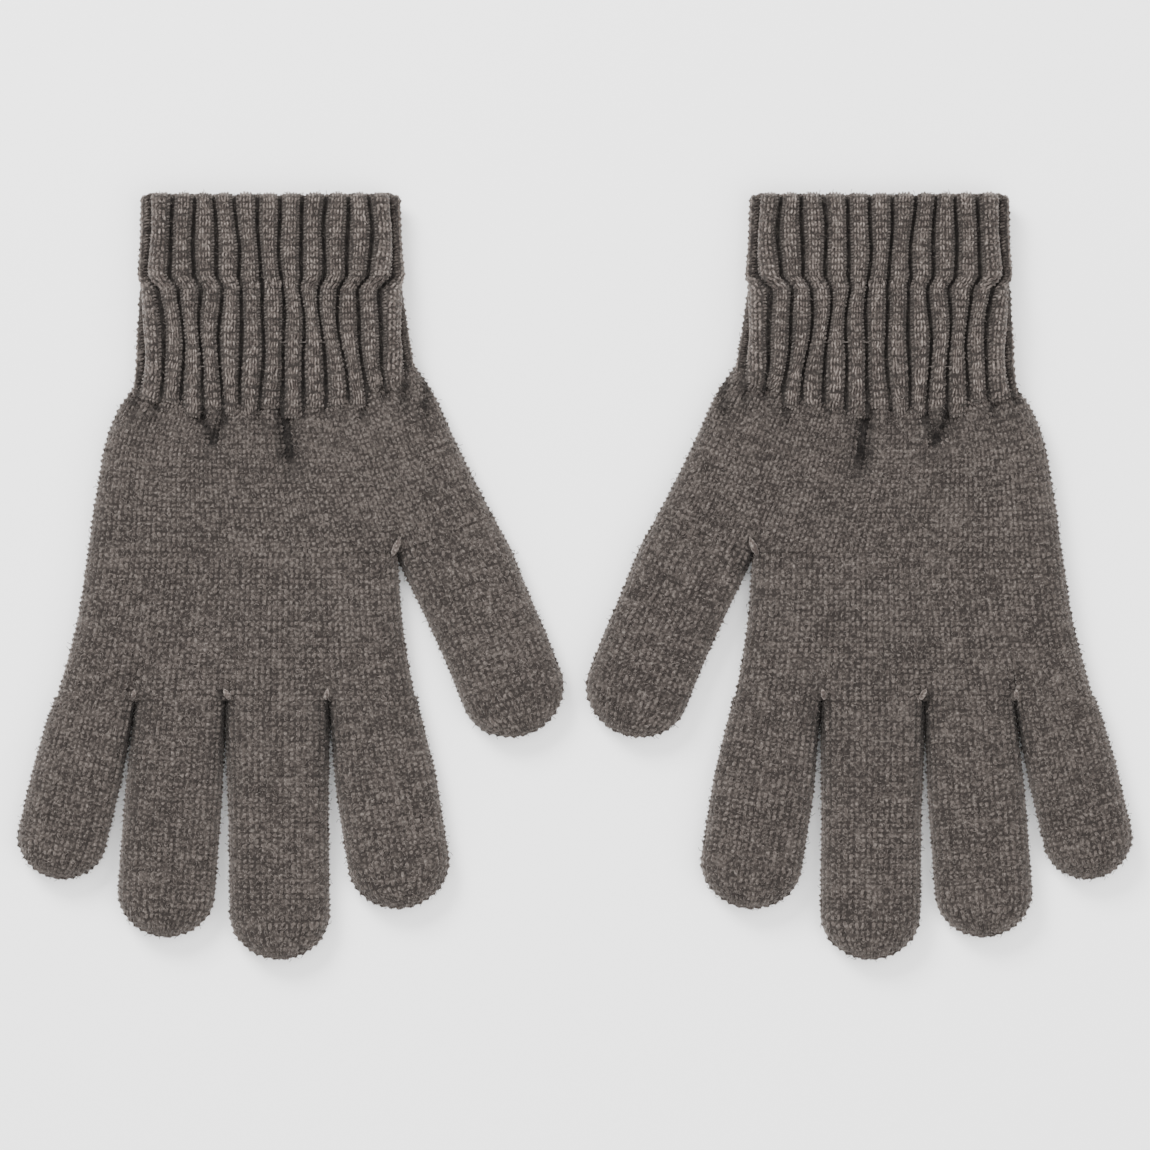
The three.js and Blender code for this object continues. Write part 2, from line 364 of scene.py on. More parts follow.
    def stitches(shape, kind):
        chosen = node("FunctionNodeCompare", operation="EQUAL", data_type="FLOAT")
        tree.links.new(attribute("kind", "FLOAT"), chosen.inputs[0])
        chosen.inputs[1].default_value = kind
        placed = node("GeometryNodeInstanceOnPoints", links=[
            ("Points", toned.outputs[0]), ("Selection", chosen.outputs[0]), ("Instance", shape),
            ("Rotation", wobbled.outputs[0]), ("Scale", scale.outputs[0]),
        ])
        return placed.outputs[0]

    def finished(geometry, material, smoothed):
        real = node("GeometryNodeRealizeInstances", links=[("Geometry", geometry)])
        shaded = node("GeometryNodeSetShadeSmooth", links=[("Geometry", real.outputs[0])])
        shaded.inputs["Shade Smooth"].default_value = smoothed
        return node("GeometryNodeSetMaterial", links=[
            ("Geometry", shaded.outputs[0]), ("Material", inputs.outputs[material]),
        ]).outputs[0]

    hairCurve = node("GeometryNodeCurvePrimitiveBezierSegment", values=[
        ("Resolution", 2), ("Start", (0, 0, 0)), ("Start Handle", (0, 0, 0.5)),
        ("End Handle", (0.5, 0, 0.8)), ("End", (0.9, 0.2, 0.6)),
    ])
    hairSection = node("GeometryNodeCurvePrimitiveCircle", values=[("Resolution", 3), ("Radius", 0.06)])
    hair = node("GeometryNodeCurveToMesh", values=[("Fill Caps", False)], links=[
        ("Curve", hairCurve.outputs[0]), ("Profile Curve", hairSection.outputs[0]),
    ])
    roots = node("GeometryNodeDistributePointsOnFaces", links=[
        ("Mesh", inputs.outputs["Geometry"]), ("Density", inputs.outputs["Fuzz density"]),
        ("Seed", inputs.outputs["Seed"]),
    ])
    spin = node("FunctionNodeRandomValue", data_type="FLOAT_VECTOR")
    spin.inputs[0].default_value = (-0.9, -0.9, -3.14)
    spin.inputs[1].default_value = (0.9, 0.9, 3.14)
    leaning = node("FunctionNodeRotateRotation", rotation_space="LOCAL", links=[
        ("Rotation", roots.outputs["Rotation"]), ("Rotate By", spin.outputs[0]),
    ])
    hairSize = maths("MULTIPLY", inputs.outputs["Fuzz length"], randomValue(0.5, 1.3, 11))
    hairs = node("GeometryNodeInstanceOnPoints", links=[
        ("Points", roots.outputs["Points"]), ("Instance", hair.outputs[0]),
        ("Rotation", leaning.outputs[0]), ("Scale", hairSize),
    ])
    whole = together([
        finished(inputs.outputs["Geometry"], "Ground", True),
        finished(together([stitches(plain, 0.0), stitches(flank, 1.0)]), "Yarn", True),
        finished(hairs.outputs[0], "Fuzz", True),
    ])
    tree.links.new(whole, outputs.inputs[0])
    return tree


knitTree = makeKnitTree()


# A tube or sheet of knit. rings is (rows, columns, 3) in the glove's frame, a row per course boundary,
# closed round the columns. kinds says what each column is: 0 plain stitches, 1 a rib's flank, 2 bare.
def knitPiece(name, glove, rings, depth, materials, kinds=None, seed=1, capEnd=False, fuzz=1.0, shade=None):
    side, origin = glove["side"], glove["origin"]
    rows, columns = rings.shape[:2]
    world = rings * np.array([side, 1, 1]) * millimetre + origin
    after = np.roll(np.arange(columns), -1)
    lower = np.arange(rows - 1)[:, None]
    here = np.arange(columns)[None, :]
    corner = [lower * columns + here, lower * columns + after[None, :],
              (lower + 1) * columns + after[None, :], (lower + 1) * columns + here]
    faces = np.stack([c.reshape(-1) for c in corner], 1)
    points = world.reshape(-1, 3)
    a, b, c, d = (points[faces[:, k]] for k in range(4))
    wale = (d + c - a - b) / 2
    across = (b + c - a - d) / 2
    outward = np.cross(across, wale)
    if side < 0:
        faces = faces[:, ::-1]
        outward = -outward
    outward /= np.linalg.norm(outward, axis=1)[:, None] + 1e-12
    width = np.linalg.norm(across, axis=1)
    length = np.linalg.norm(wale, axis=1)
    polygons = [tuple(face) for face in faces]
    if capEnd:
        last = [(rows - 1) * columns + k for k in range(columns)]
        polygons.append(tuple(last if side < 0 else reversed(last)))
    mesh = bpy.data.meshes.new(name)
    mesh.from_pydata([tuple(p) for p in points], [], polygons)
    count = len(polygons)

    def store(label, kind, values, field):
        filled = np.zeros((count,) + values.shape[1:], np.float32)
        filled[:len(values)] = values
        mesh.attributes.new(label, kind, "FACE").data.foreach_set(field, filled.reshape(-1))

    courseIndex, waleIndex = np.meshgrid(np.arange(rows - 1), np.arange(columns), indexing="ij")
    streakRow = np.full(courseIndex.size, seed * 7)
    course = np.stack([waleIndex.reshape(-1), courseIndex.reshape(-1), streakRow], 1)
    store("wale", "FLOAT_VECTOR", wale / (length[:, None] + 1e-12), "vector")
    store("outward", "FLOAT_VECTOR", outward, "vector")
    stitch = np.stack([width, length, np.full(len(width), depth * millimetre)], 1)
    store("stitch", "FLOAT_VECTOR", stitch, "vector")
    store("course", "FLOAT_VECTOR", course.astype(float), "vector")
    stitchKinds = np.full(count, 2.0)
    stitchKinds[:len(width)] = np.tile(kinds if kinds is not None else np.zeros(columns), rows - 1)
    store("kind", "FLOAT", stitchKinds, "value")
    # Painted shade, kept in the shade attribute: rib flanks and the bare gaps between ribs are darkened, and
    # any fold, fork or finger-side shade passed in is added.
    paintedShade = np.where(stitchKinds == 1, yarn["flankPaintedShade"], 0.0)
    if not capEnd:
        paintedShade += np.where(stitchKinds == 2, yarn["gapPaintedShade"], 0.0)
    if shade is not None:
        paintedShade[:len(width)] += shade.reshape(-1)
    store("shade", "FLOAT", paintedShade, "value")

    surface = bpy.data.objects.new(name, mesh)
    bpy.context.scene.collection.objects.link(surface)
    modifier = surface.modifiers.new("knit", "NODES")
    modifier.node_group = knitTree
    sockets = {s.name: s.identifier for s in knitTree.interface.items_tree if s.in_out == "INPUT"}
    settings = {
        "Yarn thickness": yarn["thickness"], "Unevenness": yarn["unevenness"],
        "Fuzz density": yarn["fuzzDensity"] * fuzz, "Fuzz length": yarn["fuzzLength"], "Seed": seed,
        "Yarn": materials[0], "Ground": materials[1], "Fuzz": materials[2],
    }
    for label, value in settings.items():
        modifier[sockets[label]] = value
    bpy.context.view_layer.update()
    evaluated = surface.evaluated_get(bpy.context.evaluated_depsgraph_get())
    final = bpy.data.meshes.new_from_object(evaluated)
    surface.modifiers.clear()
    surface.data = final
    return surface


yarns = (knitYarn, shadedGround, fuzzYarn)
ribYarns = (ribYarn, shadedGround, fuzzYarn)
facingYarns = (facingYarn, shadedGround, fuzzYarn)

fingerWidth = {"index": 24.6, "middle": 24.3, "ring": 23.6, "little": 21.6, "thumb": 25.2}
fingerWales = 10
fingerStub = 8.5  # the stretch of each finger that belongs to the hand


# How far the ribs run down past the wrist line: furthest in the middle of the palm.
def wristDip(x):
    return throughKnots([(-40, 6.4), (-33, 4.6), (-22, -1.6), (0, -4.2), (20, -3.4), (34, 0.6)], x)


def gloveFrame(sideName):
    wrist = joints[sideName + "_cuff_fold"]
    glove = {"name": sideName, "side": gloves[sideName]}
    glove["origin"] = np.array([wrist["pos_m"][0], wrist["pos_m"][1], 0])
    glove["cuffTop"] = (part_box(sideName + "_cuff_rib")[1][1] - wrist["pos_m"][1]) / millimetre
    return glove


# A joint's pivot, or any point in the row frame, in the glove's frame.
def inGlove(glove, point):
    local = (np.array(point) - glove["origin"]) / millimetre
    return local * np.array([glove["side"], 1, 1])


def inRow(glove, x, y, z=0.0):
    return tuple(np.array([x, y, z]) * np.array([glove["side"], 1, 1]) * millimetre + glove["origin"])


# A finger's root, direction and length, from its two joints and the end of its tip.
def fingerLine(glove, finger):
    base = "thumb_base_bend" if finger == "thumb" else finger + "_knuckle_bend"
    low = inGlove(glove, joints[glove["name"] + "_" + base]["pos_m"])
    mid = inGlove(glove, joints[glove["name"] + "_" + finger + "_mid_bend"]["pos_m"])
    along = (mid - low)[:2]
    spacing = np.linalg.norm(along)
    along = along / spacing
    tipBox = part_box(glove["name"] + "_" + finger + "_tip")
    tipY = inGlove(glove, tipBox[0])[1]
    root = low[:2] - along * fingerStub / (1 if finger == "thumb" else -along[1])
    halfEnd = fingerWidth[finger] / 2 * abs(along[0])
    reach = (root[1] - tipY - halfEnd * 0.18) / -along[1]
    reach -= 0.6 if finger == "thumb" else 0.0
    return {"root": root, "along": along, "length": reach, "low": low[:2], "mid": mid[:2]}


def fingerRings(glove, finger, line, chord):
    halfTip = fingerWidth[finger] / 2
    tipLength = halfTip * 0.88
    straight = line["length"] - tipLength
    courses = int(round(straight / hand["coursePitch"]))
    shares = np.arange(2 * fingerWales) / (2 * fingerWales)
    across = np.array([-line["along"][1], line["along"][0]])
    rings = []
    tipCourses = 9
    for k in range(-1, courses + tipCourses + 1):
        if k <= courses:
            along = max(straight * k / courses, -0.9)
            shrink = 1.0
        else:
            angle = (k - courses) / (tipCourses + 0.35) * math.pi / 2
            along = straight + tipLength * math.sin(angle)
            shrink = math.cos(angle)
        opening = smooth(along / (straight * 0.6))
        baseHalf = chord / 2 + (0.0 if finger == "thumb" else 0.35)
        nearRoot = float(smooth(1 - along / 10)) if finger == "thumb" else 0.0
        half = (1 - opening) * baseHalf + opening * halfTip - 0.5 * nearRoot
        half = (half - hand["overYarn"] + 0.15) * shrink
        thick = hand["halfHeight"] * shrink ** 0.6
        x, z = section(shares, half, thick, hand["edge"])
        squareness = 1.0 if finger == "thumb" else smooth(along / 9.0)
        direction = (1 - squareness) * np.array([1.0, 0]) + squareness * across
        direction = direction / np.linalg.norm(direction)
        shift = 1.1 * max(1 - along / 30, 0) + 0.5 * nearRoot if finger == "thumb" else 0.0
        centre = line["root"] + line["along"] * along + across * shift
        bulge = 0.6 * (1 - (x / max(half, 0.1)) ** 2) * shrink
        lift = np.where(z > 0, bulge, 0) * (0.25 + 0.75 * opening)
        px = centre[0] + direction[0] * x
        py = centre[1] + direction[1] * x
        lift = lift + softness(glove, px, py) * np.clip(z / hand["halfHeight"], 0, 1)
        rings.append(np.stack([px, py, hand["middleHeight"] + z + lift], 1))
    return np.array(rings)


# The shadow on the sides of a finger that face its neighbours, fading out towards the tip.
def sideShade(finger, rings, line):
    littleSide = finger != "little"
    thumbSide = finger not in ("index", "thumb")
    middle = (rings[:-1] + rings[1:]).mean(1) / 2
    along = (middle[:, :2] - line["root"]) @ line["along"]
    fade = smooth(1.15 - along / (9 if finger == "thumb" else 24))
    wales = fingerWales
    shade = np.zeros((len(along), 2 * wales))
    for near, strength in ((0, 0.85), (1, 0.12)):
        if littleSide:
            shade[:, [near, 2 * wales - 1 - near]] = -strength
        if thumbSide:
            shade[:, [wales - 1 - near, wales + near]] = -strength
    return shade * fade[:, None]


def knitFinger(glove, finger, chord, seed):
    line = fingerLine(glove, finger)
    rings = fingerRings(glove, finger, line, chord)
    name = glove["name"] + "_" + finger
    direction = line["along"] if finger == "thumb" else np.array([0, -1.0])
    low, mid = line["low"], line["mid"]
    reaches = rings[:, :, :2] @ direction
    lowAt, midAt = low @ direction, mid @ direction
    cut = int(np.searchsorted(reaches.mean(1), (lowAt + midAt) / 2))
    shade = sideShade(finger, rings, line)
    for part, rows, capEnd in (("root", slice(0, cut + 1), False), ("tip", slice(cut, None), True)):
        ring = rings[rows]
        shadow = shade[:cut] if part == "root" else shade[cut:]
        piece = knitPiece(
            name + "_" + part + "_knit", glove, ring, hand["stitchDepth"], yarns,
            seed=seed, capEnd=capEnd, shade=shadow,
        )
        if part == "root":
            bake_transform(piece)
        else:
            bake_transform(piece)
        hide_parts(name + "_" + part)
        seed += 1


# The hand as it lies, edges and knots in the glove's own frame.
hand = {
    "halfHeight": 4.0,
    "middleHeight": 4.95,
    "overYarn": 0.35,
    "edge": 5.0,
    "coursePitch": 1.22,
    "palmWales": 31,
    "thumbWales": 11,
    "upperCourses": 30,
    "lowerCourses": 28,
    "wristThumb": 34.6,
    "wristLittle": 33.0,
    "littleSide": [(0, 33.0), (5, 36.6), (10, 38.7), (25, 41.9), (40, 44.1), (55, 46.4), (76, 51.9)],
    "thumbSide": [(-7, 33.8), (-5, 34.9), (0, 38.4), (10, 43.2), (20, 48.0), (31, 53.7)],
    "crotchRise": 12.0,
    "stitchDepth": 2.2,
    "wristBend": 9,
}


# Height factor near a fork: the fabric rounds down to the fork as a finger's own edge does.
def forkFactor(distance, nearness):
    edge = hand["edge"]
    inside = np.clip(np.abs(distance) / edge, 0, 1)
    rounded = np.sqrt(np.clip(1 - (1 - inside) ** 2, 0, 1))
    return 1 - nearness * (1 - rounded)


pleatAt = -3.0  # across the hand, where the long pleat leaves the cuff
foldedRib = 13.4  # the rib that ends between two short folds


# How deep in a fold each point lies, 0 to 1: a long pleat, two short folds beside the end of one rib,
# and the gaps between ribs running a little way on into the hand.
def foldDepth(x, y):
    pleatX = pleatAt + 0.10 * (y + 3)
    pleat = np.exp(-((x - pleatX) / 1.9) ** 2) * smooth((y + 25) / 9)
    spread = np.clip((y + 14) / 9, 0, 1)
    folds = sum(
        0.9 * np.exp(-((x - foldedRib - turn * 3.1 * spread) / 1.2) ** 2) * smooth((y + 16.5) / 5)
        for turn in (-1, 1)
    )
    gap = np.round(x / cuff["basePitch"] - 0.5) + 0.5
    away = x - gap * cuff["basePitch"]
    reach = 9.5 + 3.5 * np.sin(gap * 2.4)
    ribEnds = 0.85 * np.exp(-(away / 0.95) ** 2) * smooth((y + reach) / 8)
    return np.clip(pleat + folds + ribEnds, 0, 1)


def gathers(x, y):
    proud = 1.2 * np.exp(-((x - foldedRib) / 1.9) ** 2) * smooth((y + 14) / 4)
    return proud - 2.8 * foldDepth(x, y) * smooth((2 - y) / 3)


def handRings(glove):
    forkX, forkY = glove["forkPoint"]
    wales = hand["palmWales"] + hand["thumbWales"]
    outer = glove["thumbOuter"]
    forkShare = hand["palmWales"] / wales
    littleX = throughKnots(hand["littleSide"], -forkY)

    def top(u):
        x = hand["wristLittle"] * (1 - u) - hand["wristThumb"] * u
        return np.stack([x, wristDip(x)], -1)

    def bottom(u):
        pastFork = np.clip((u - forkShare) / (1 - forkShare), 0, 1)
        x = np.interp(u, [0, forkShare, 1], [littleX, forkX, outer[0]])
        return np.stack([x, forkY + (outer[1] - forkY) * pastFork], -1)

    def little(v):
        y = top(0.0)[1] * (1 - v) + forkY * v
        return np.stack([throughKnots(hand["littleSide"], np.maximum(-y, 0)), y], -1)

    def thumbEdge(v):
        y = top(1.0)[1] * (1 - v) + outer[1] * v
        drift = (outer[0] + throughKnots(hand["thumbSide"], -outer[1])) * v ** 4
        return np.stack([drift - throughKnots(hand["thumbSide"], -y), y], -1)

    def patch(u, v):
        corners = ((1 - u) * (1 - v))[:, None] * top(0.0) + (u * (1 - v))[:, None] * top(1.0)
        corners = corners + ((1 - u) * v)[:, None] * bottom(0.0) + (u * v)[:, None] * bottom(1.0)
        sides = (1 - u)[:, None] * little(v) + u[:, None] * thumbEdge(v)
        return (1 - v) * top(u) + v * bottom(u) + sides - corners

    shares = np.arange(2 * wales) / (2 * wales)
    upper = []
    for k in range(hand["upperCourses"] + 1):
        v = k / hand["upperCourses"]
        half = np.linalg.norm(little(v) - thumbEdge(v)) / 2
        x, z = section(shares, half - hand["overYarn"], hand["halfHeight"], hand["edge"])
        u = (1 - x / half) / 2
        plan = patch(u, v)
        forkDistance = (u - forkShare) * 2 * half
        factor = forkFactor(forkDistance, float(smooth((v - 0.72) / 0.28)))
        upper.append(surfaceAt(glove, plan, z * factor, 0.9 * (1 - (x / half) ** 2)))

    lower = []
    palmShares = np.arange(2 * hand["palmWales"]) / (2 * hand["palmWales"])
    knuckleY = glove["knuckleY"]
    for k in range(hand["lowerCourses"] + 1):
        v = k / hand["lowerCourses"]
        y = forkY * (1 - v) + knuckleY * v
        littleEdgeX = throughKnots(hand["littleSide"], -y)
        thumbEdgeX = forkX * (1 - v) + glove["knuckleThumb"] * v + 0.9 * math.sin(v * math.pi)
        half = (littleEdgeX - thumbEdgeX) / 2
        x, z = section(palmShares, half - hand["overYarn"], hand["halfHeight"], hand["edge"])
        plan = np.stack([x + (littleEdgeX + thumbEdgeX) / 2, np.full(len(x), y)], 1)
        nearness = float(smooth(1 - (y - knuckleY) / hand["crotchRise"]))
        factor = np.ones(len(x))
        for crotch in glove["crotches"]:
            factor = np.minimum(factor, forkFactor(plan[:, 0] - crotch, nearness))
        dome = 0.9 * (1 - (x / half) ** 2) * (1 - 0.85 * nearness)
        lower.append(surfaceAt(glove, plan, z * factor, dome))
    return np.array(upper), np.array(lower)


# Painted shade on each stitch of a ring surface: dark on its upper side where the fabric folds.
def foldShade(rings):
    middle = (rings[:-1] + rings[1:]) / 2
    middle = (middle + np.roll(middle, -1, axis=1)) / 2
    onTop = middle[:, :, 2] > hand["middleHeight"]
    return -0.88 * foldDepth(middle[:, :, 0], middle[:, :, 1]) * onTop


# The shadow in the forks between the fingers.
def forkShade(glove, rings):
    middle = (rings[:-1] + rings[1:]) / 2
    middle = (middle + np.roll(middle, -1, axis=1)) / 2
    near = smooth(1 - (middle[:, :, 1] - glove["knuckleY"]) / 5.5)
    away = np.min([np.abs(middle[:, :, 0] - crotch) for crotch in glove["crotches"]], axis=0)
    return -0.7 * near * np.exp(-(away / 1.1) ** 2)


# Plan points and a height off the middle plane, given the soft unevenness of the fabric's upper side.
def surfaceAt(glove, plan, z, dome):
    x, y = plan[:, 0], plan[:, 1]
    top = z > 0.2
    full = np.clip(z / hand["halfHeight"], 0, 1)
    lift = (dome + softness(glove, x, y) + gathers(x, y)) * full
    return np.stack([x, y, hand["middleHeight"] + z + np.where(top, lift, 0)], 1)


def bendAtWrist(piece):
    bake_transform(piece)


def knitHand(glove):
    upper, lower = handRings(glove)
    name = glove["name"] + "_hand"
    depth = hand["stitchDepth"]
    shade = foldShade(upper)
    upperPiece = knitPiece(name + "_upper_knit", glove, upper, depth, yarns, seed=21, shade=shade)
    bendAtWrist(upperPiece)
    shade = forkShade(glove, lower)
    lowerPiece = knitPiece(name + "_lower_knit", glove, lower, depth, yarns, seed=22, shade=shade)
    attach(lowerPiece, name)
    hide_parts(name + "_shell")


# The cuff. profile is one rib's outline: place across it and height; kinds are its six stitches.
cuff = {
    "ribs": 26,
    "outerCourses": 31,
    "facingCourses": 14,
    "middleHeight": 6.45,
    "halfHeight": 3.6,
    "edge": 5.0,
    "ribHeight": 2.3,
    "topPitch": 5.25,
    "lowPitch": 4.72,
    "basePitch": 4.95,
    "hemHeight": 24.8,
    "foldRadius": 1.0,
    "profile": [(0.0, -0.35), (0.11, 0.05), (0.24, 0.80), (0.5, 1.0), (0.76, 0.80), (0.89, 0.05)],
    "kinds": [2, 1, 0, 0, 1, 2],
    "wander": 0.13,
    "stitchDepth": 1.9,
    "splitCourse": 15,
}


# Positions along the rounded edge of each rib boundary at a height above the wrist line.
def ribPitch(height):
    low = cuff["lowPitch"] + (cuff["basePitch"] - cuff["lowPitch"]) * float(smooth((12 - height) / 16))
    return low + (cuff["topPitch"] - low) * float(smooth((height - cuff["hemHeight"] + 1.2) / 2.4))


# How far the gap before a rib strays sideways at a height.
def gapWave(height, rib):
    together = math.sin(height * 0.14 + rib * 0.8) + 0.5 * math.sin(height * 0.33 + rib * 1.9)
    alone = 0.35 * math.sin(height * 0.23 + rib * 5.1)
    return (together + alone) * (1.0 if height < cuff["hemHeight"] else 0.65)


def ribRow(height, halfWidth, halfHeight, ribHeight, inward=False):
    pitch = ribPitch(height)
    edge = min(cuff["edge"], halfHeight * 1.25)
    quarter = math.pi / 2 * math.sqrt((edge * edge + halfHeight * halfHeight) / 2)
    total = 2 * quarter + 2 * (halfWidth - edge)
    ribs = cuff["ribs"]
    shares, heights = [], []
    for rib in range(ribs):
        for place, level in cuff["profile"]:
            k = rib + place - ribs / 4
            phase = (k + ribs / 2) % ribs - ribs / 2
            wave = gapWave(height, rib) * (1 - place) + gapWave(height, (rib + 1) % ribs) * place
            phase += cuff["wander"] * wave
            far = min(max((abs(phase) - 4.5) / (ribs / 2 - 4.5), 0), 1)
            even = abs(phase) / (ribs / 2) * total
            arc = abs(phase) * pitch * (1 - far) + even * far
            shares.append((0.25 + math.copysign(arc, phase) / (2 * total)) % 1)
            heights.append(level)
    shares = np.array(shares)
    heights = np.array(heights) * ribHeight
    x, z = section(shares, halfWidth, halfHeight, edge)
    step = 1e-3
    x2, z2 = section(shares + step, halfWidth, halfHeight, edge)
    tangent = np.stack([x2 - x, z2 - z], 1)
    tangent /= np.linalg.norm(tangent, axis=1)[:, None]
    normal = np.stack([tangent[:, 1], -tangent[:, 0]], 1)
    if inward:
        normal = -normal
    return x + normal[:, 0] * heights, z + normal[:, 1] * heights


def cuffHalfWidth(height):
    knots = [(0, 34.1), (6, 33.4), (12, 33.0), (22, 32.5), (27, 32.3), (31, 31.9), (48, 31.3)]
    return throughKnots(knots, height)


def cuffMiddle(height):
    return throughKnots([(0, -0.8), (6, -0.8), (12, -0.6), (22, -0.3), (48, 0)], height)


def knitCuff(glove):
    top = glove["cuffTop"] - 0.6
    outer = []
    ends = np.repeat(1.3 * np.sin(np.arange(cuff["ribs"]) * 2.4), len(cuff["profile"]))
    for k in range(-1, cuff["outerCourses"] + 1):
        share = max(k, 0) / cuff["outerCourses"]
        nominal = (top - cuff["foldRadius"]) * share
        half = cuffHalfWidth(nominal)
        dive = {-1: 1.0, 0: 0.45}.get(k, 0.0)
        rib = cuff["ribHeight"] * (0.45 + 0.55 * float(smooth(share * 7))) * (1 - dive)
        thick = cuff["halfHeight"] * (0.9 + 0.1 * float(smooth(share * 4)) - 0.22 * dive)
        dipShare = float(smooth(1 - share * 3))
        past = float(smooth(1 - share * 5))
        nearHem = math.exp(-((nominal - cuff["hemHeight"]) / 1.3) ** 2)
        half = half - rib - hand["overYarn"]
        x, z = ribRow(nominal, half, thick - 0.3 * nearHem, rib * (1 - 0.25 * nearHem))
        x = x + cuffMiddle(nominal)
        y = nominal + wristDip(x) * dipShare + past * (ends - 1.3) - 0.9 * dive
        outer.append(np.stack([x, y, cuff["middleHeight"] + z], 1))
    fold = []
    radius = cuff["foldRadius"]
    for k in range(1, 4):
        angle = k / 4 * math.pi
        inset = radius * (1 - math.cos(angle))
        half = cuffHalfWidth(top) - cuff["ribHeight"] - hand["overYarn"] - inset
        thick = cuff["halfHeight"] - inset * 0.9
        scallop = cuff["ribHeight"] * (math.cos(angle) if angle < math.pi / 2 else 0.3 * math.cos(angle))
        x, z = ribRow(top, half, thick, abs(scallop), scallop < 0)
        levels = np.tile([level for _, level in cuff["profile"]], cuff["ribs"])
        y = top - radius + radius * math.sin(angle) * (0.25 + 0.75 * levels)
        fold.append(np.stack([x + cuffMiddle(top), y, cuff["middleHeight"] + z], 1))
    facing = []
    for k in range(cuff["facingCourses"] + 1):
        share = k / cuff["facingCourses"]
        height = (top - radius) * (1 - share) + (cuff["hemHeight"] - 1.5) * share
        half = cuffHalfWidth(height) - cuff["ribHeight"] - hand["overYarn"] - 2 * radius
        x, z = ribRow(top, half, cuff["halfHeight"] - 1.8 * radius, cuff["ribHeight"] * 0.3, True)
        y = np.full(len(x), height)
        facing.append(np.stack([x + cuffMiddle(height), y, cuff["middleHeight"] + z], 1))
    kinds = np.tile(cuff["kinds"], cuff["ribs"])
    name = glove["name"]
    split = cuff["splitCourse"]
    depth = cuff["stitchDepth"]
    lowRows = np.array(outer[:split + 1])[::-1]
    highRows = np.array(outer[split:] + fold)[::-1]
    insideRows = np.array([fold[-1]] + facing)[::-1]
    low = knitPiece(name + "_cuff_low_knit", glove, lowRows, depth, ribYarns, kinds, seed=31, fuzz=0.5)
    bendAtWrist(low)
    high = knitPiece(name + "_cuff_high_knit", glove, highRows, depth, ribYarns, kinds, seed=32, fuzz=0.5)
    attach(high, name + "_cuff")
    insideName = name + "_cuff_facing_knit"
    inside = knitPiece(insideName, glove, insideRows, depth, facingYarns, kinds, seed=33, fuzz=0.5)
    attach(inside, name + "_cuff")
    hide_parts(name + "_cuff_rib")
    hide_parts(name + "_cuff_facing")


# Loose yarn: the elastic, the tacking and the ends that close the forks.
# A round tube along points in the glove's frame, tapering by scales; closed joins its ends.
def strandPiece(name, glove, paths, radius, material, closed=False):
    vertices, faces = [], []
    sides = 6
    turns = np.arange(sides) / sides * 2 * math.pi
    for path, scales in paths:
        if closed:
            ahead = np.roll(path, -1, axis=0) - np.roll(path, 1, axis=0)
        else:
            ahead = np.gradient(path, axis=0)
        ahead /= np.linalg.norm(ahead, axis=1)[:, None] + 1e-9
        sideways = np.cross(ahead, np.array([0.11, 0.23, 1.0]))
        sideways /= np.linalg.norm(sideways, axis=1)[:, None] + 1e-9
        upward = np.cross(sideways, ahead)
        ring = path[:, None] + radius * scales[:, None, None] * (
            np.cos(turns)[None, :, None] * sideways[:, None] + np.sin(turns)[None, :, None] * upward[:, None]
        )
        first = len(vertices)
        count = len(path)
        vertices += [inRow(glove, *p) for p in ring.reshape(-1, 3)]
        for k in range(count if closed else count - 1):
            after = (k + 1) % count
            for j in range(sides):
                j2 = (j + 1) % sides
                face = (first + k * sides + j, first + after * sides + j,
                        first + after * sides + j2, first + k * sides + j2)
                faces.append(face if glove["side"] < 0 else face[::-1])
        if not closed:
            start = tuple(first + j for j in range(sides))
            end = tuple(first + (count - 1) * sides + j for j in reversed(range(sides)))
            faces += [start, end] if glove["side"] < 0 else [start[::-1], end[::-1]]
    mesh = bpy.data.meshes.new(name)
    mesh.from_pydata(vertices, [], faces)
    mesh.shade_smooth()
    mesh.materials.append(material)
    piece = bpy.data.objects.new(name, mesh)
    bpy.context.scene.collection.objects.link(piece)
    return piece


# A short end of plied yarn lying on the knit, from low to high, bowed up in the middle.
def yarnEnd(low, high, width, bow):
    plies = []
    steps = 12
    t = np.linspace(0, 1, steps)
    run = (high - low)[:2] / np.linalg.norm((high - low)[:2])
    for ply in range(3):
        turn = 2 * math.pi * (ply / 3 + 1.1 * t)
        body = np.sin(np.clip(t * 1.1 + 0.05, 0, 1) * math.pi) ** 0.5
        path = low[None] * (1 - t)[:, None] + high[None] * t[:, None]
        offset = width * 0.26 * body
        twist = np.stack([-run[1] * np.cos(turn), run[0] * np.cos(turn), 0.8 * np.sin(turn)], 1)
        path = path + twist * offset[:, None]
        path[:, 2] += bow * np.sin(t * math.pi)
        plies.append((path, 0.35 + 0.65 * body))
    return plies


forkEnds = {
    "index_middle": {"shift": 0.3, "turn": 0.25, "length": 2.6, "width": 1.2},
    "middle_ring": {"shift": -0.5, "turn": -0.5, "length": 2.8, "width": 1.3},
    "ring_little": {"shift": 0.2, "turn": 0.1, "length": 2.2, "width": 1.1},
    "thumb": {"shift": 0.2, "turn": 0.42, "length": 4.6, "width": 1.5},
}


